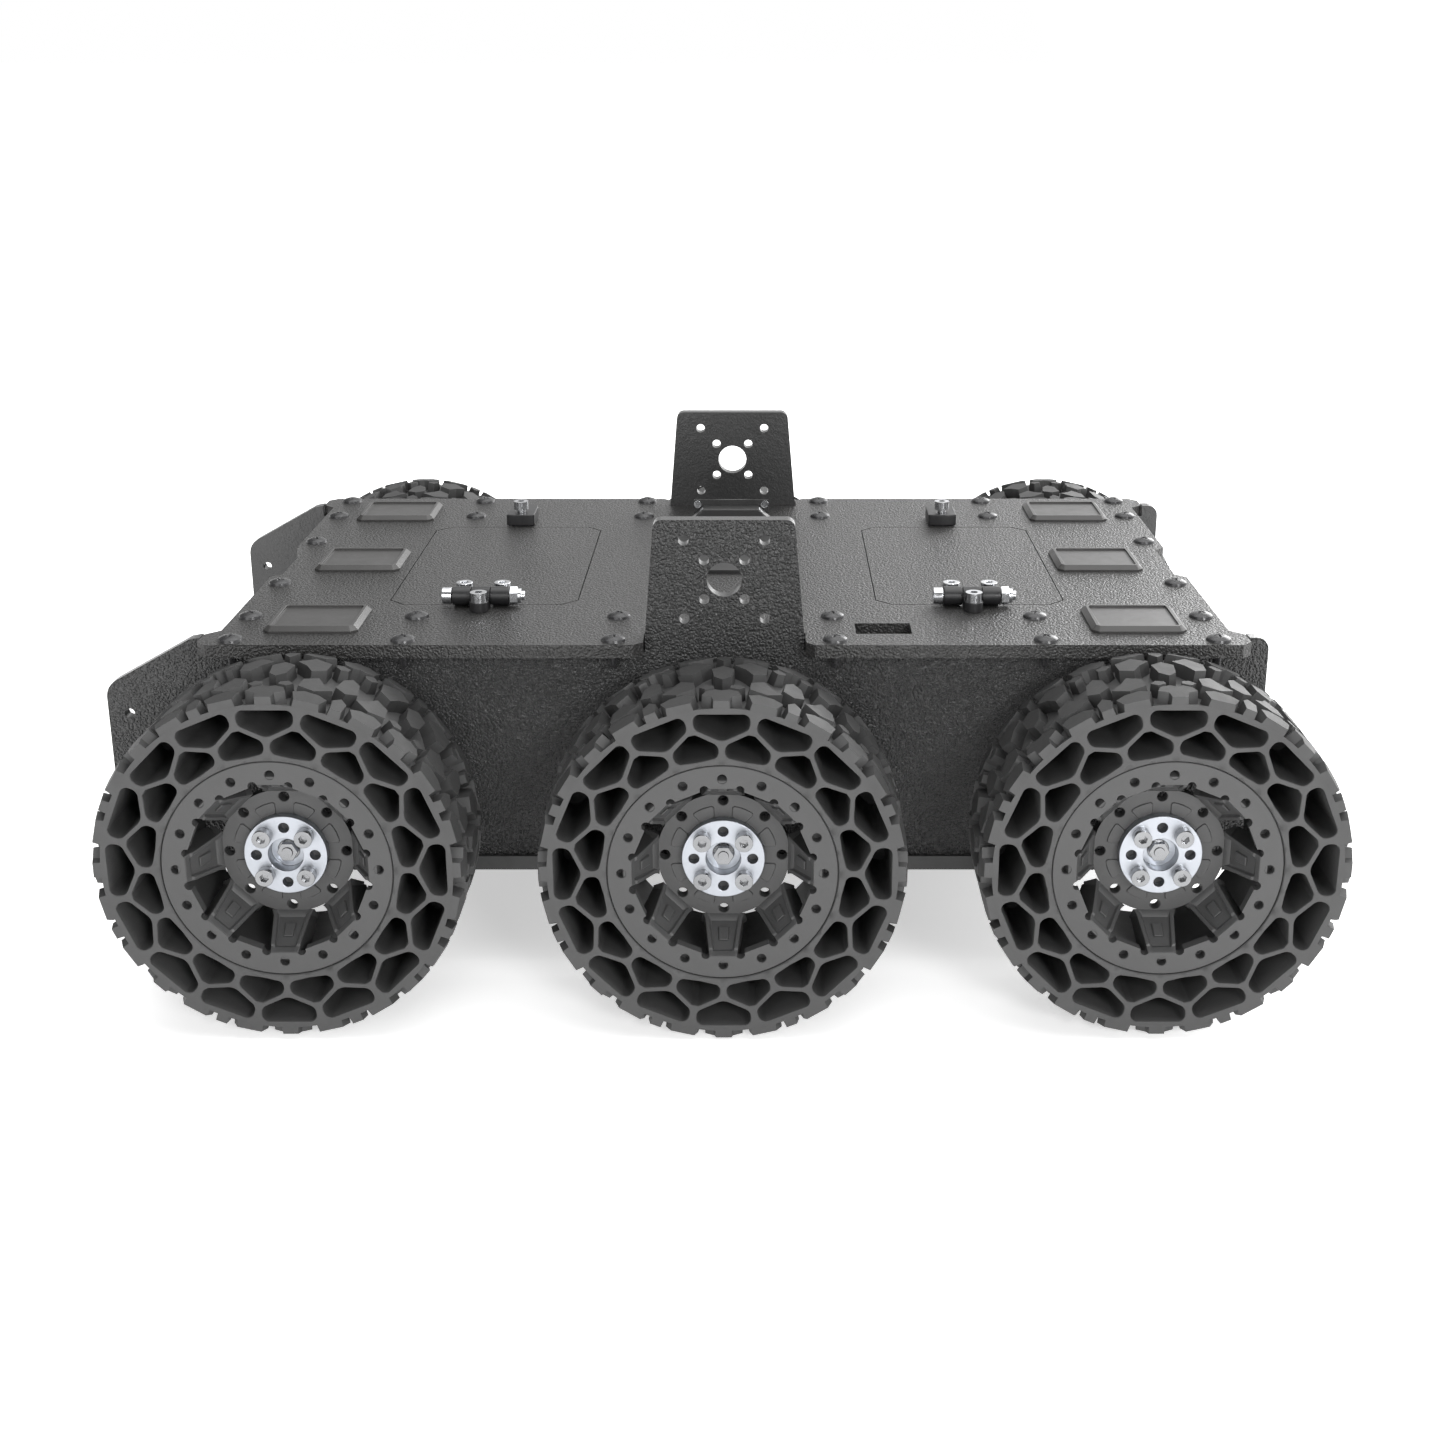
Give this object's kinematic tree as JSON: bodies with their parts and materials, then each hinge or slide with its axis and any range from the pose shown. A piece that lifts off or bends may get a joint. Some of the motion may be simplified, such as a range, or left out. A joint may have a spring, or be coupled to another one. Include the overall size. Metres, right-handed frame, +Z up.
{
  "type": "six-wheeled robot chassis",
  "caption": "Low box-shaped rover chassis with honeycomb off-road tyres, slab side plates with drilled tabs, and a screwed deck with hinged hatches and turn-button latches.",
  "frame": {"origin": "on the ground under the middle of the bounding box", "axes": "+X along the robot's length towards its rear, +Y towards its right side, +Z up; the front, with the longer side-plate noses, is at -X"},
  "size_m": [0.487, 0.36, 0.1917],
  "materials": {
    "deck_plastic": "fine leather-grain texture, satin",
    "side_plastic": "coarse leather-grain texture, satin",
    "hull_plastic": "smooth, satin",
    "pad_plastic": "smooth, satin",
    "hinge_plastic": "smooth, satin black",
    "module_plastic": "smooth, satin",
    "rim_plastic": "moulded, satin",
    "tyre_rubber": "matte rubber",
    "hub_aluminium": "clear anodised, fine turned finish",
    "plain_aluminium": "mill finish",
    "steel_screws": "zinc plated",
    "motor_steel": "plated steel",
    "black_screws": "black zinc",
    "battery_wrap": "shrink wrap",
    "board": "solder mask",
    "wire_skin": "silicone"
  },
  "bodies": {
    "chassis": {"deck_plate": "deck_plastic", "bottom_plate": "hull_plastic", "side_plate_left": "side_plastic", "side_plate_right": "side_plastic", "front_panel": "hull_plastic", "rear_panel": "hull_plastic", "corner_rails": "plain_aluminium", "deck_pads": "pad_plastic", "deck_screws": "black_screws", "hull_screws": "black_screws", "hinge_bases": "hinge_plastic", "hinge_bolts": "steel_screws", "base_screws": "steel_screws", "latch_screws": "steel_screws", "module_bracket": "module_plastic", "module_case": "module_plastic", "axle_bearings": "steel_screws", "gear_motors": "motor_steel", "motor_mounts": "plain_aluminium", "battery": "battery_wrap", "control_board": "board", "wire_harness": "wire_skin"},
    "wheel_left_front": {"tyre_left_front": "tyre_rubber", "rim_left_front": "rim_plastic", "hub_left_front": "hub_aluminium", "hub_screws_left_front": "steel_screws", "shaft_left_front": "steel_screws"},
    "wheel_left_middle": {"tyre_left_middle": "tyre_rubber", "rim_left_middle": "rim_plastic", "hub_left_middle": "hub_aluminium", "hub_screws_left_middle": "steel_screws", "shaft_left_middle": "steel_screws"},
    "wheel_left_rear": {"tyre_left_rear": "tyre_rubber", "rim_left_rear": "rim_plastic", "hub_left_rear": "hub_aluminium", "hub_screws_left_rear": "steel_screws", "shaft_left_rear": "steel_screws"},
    "wheel_right_front": {"tyre_right_front": "tyre_rubber", "rim_right_front": "rim_plastic", "hub_right_front": "hub_aluminium", "hub_screws_right_front": "steel_screws", "shaft_right_front": "steel_screws"},
    "wheel_right_middle": {"tyre_right_middle": "tyre_rubber", "rim_right_middle": "rim_plastic", "hub_right_middle": "hub_aluminium", "hub_screws_right_middle": "steel_screws", "shaft_right_middle": "steel_screws"},
    "wheel_right_rear": {"tyre_right_rear": "tyre_rubber", "rim_right_rear": "rim_plastic", "hub_right_rear": "hub_aluminium", "hub_screws_right_rear": "steel_screws", "shaft_right_rear": "steel_screws"},
    "front_hatch": {"hatch_front": "deck_plastic", "hinge_leaves_front": "hinge_plastic", "leaf_screws_front": "steel_screws"},
    "rear_hatch": {"hatch_rear": "deck_plastic", "hinge_leaves_rear": "hinge_plastic", "leaf_screws_rear": "steel_screws"},
    "front_latch": {"latch_front": "hinge_plastic"},
    "rear_latch": {"latch_rear": "hinge_plastic"}
  },
  "joints": [
    {"name": "wheel_left_front_spin", "type": "hinge", "parent": "chassis", "child": "wheel_left_front", "pos_m": [-0.163, -0.155, 0.0721], "axis": [0, 1, 0], "continuous": true},
    {"name": "wheel_left_middle_spin", "type": "hinge", "parent": "chassis", "child": "wheel_left_middle", "pos_m": [0.005, -0.155, 0.0705], "axis": [0, 1, 0], "continuous": true},
    {"name": "wheel_left_rear_spin", "type": "hinge", "parent": "chassis", "child": "wheel_left_rear", "pos_m": [0.173, -0.155, 0.0721], "axis": [0, 1, 0], "continuous": true},
    {"name": "wheel_right_front_spin", "type": "hinge", "parent": "chassis", "child": "wheel_right_front", "pos_m": [-0.163, 0.155, 0.0721], "axis": [0, 1, 0], "continuous": true},
    {"name": "wheel_right_middle_spin", "type": "hinge", "parent": "chassis", "child": "wheel_right_middle", "pos_m": [0.005, 0.155, 0.0705], "axis": [0, 1, 0], "continuous": true},
    {"name": "wheel_right_rear_spin", "type": "hinge", "parent": "chassis", "child": "wheel_right_rear", "pos_m": [0.173, 0.155, 0.0721], "axis": [0, 1, 0], "continuous": true},
    {"name": "front_hatch_hinge", "type": "hinge", "parent": "chassis", "child": "front_hatch", "pos_m": [-0.098, -0.0697, 0.1478], "axis": [1, 0, 0], "range_deg": [0, 110]},
    {"name": "rear_hatch_hinge", "type": "hinge", "parent": "chassis", "child": "rear_hatch", "pos_m": [0.108, -0.0697, 0.1478], "axis": [1, 0, 0], "range_deg": [0, 110]},
    {"name": "front_latch_turn", "type": "hinge", "parent": "chassis", "child": "front_latch", "pos_m": [-0.098, 0.0707, 0.1466], "axis": [0, 0, 1], "range_deg": [0, 180]},
    {"name": "rear_latch_turn", "type": "hinge", "parent": "chassis", "child": "rear_latch", "pos_m": [0.108, 0.0707, 0.1466], "axis": [0, 0, -1], "range_deg": [0, 180]}
  ]
}
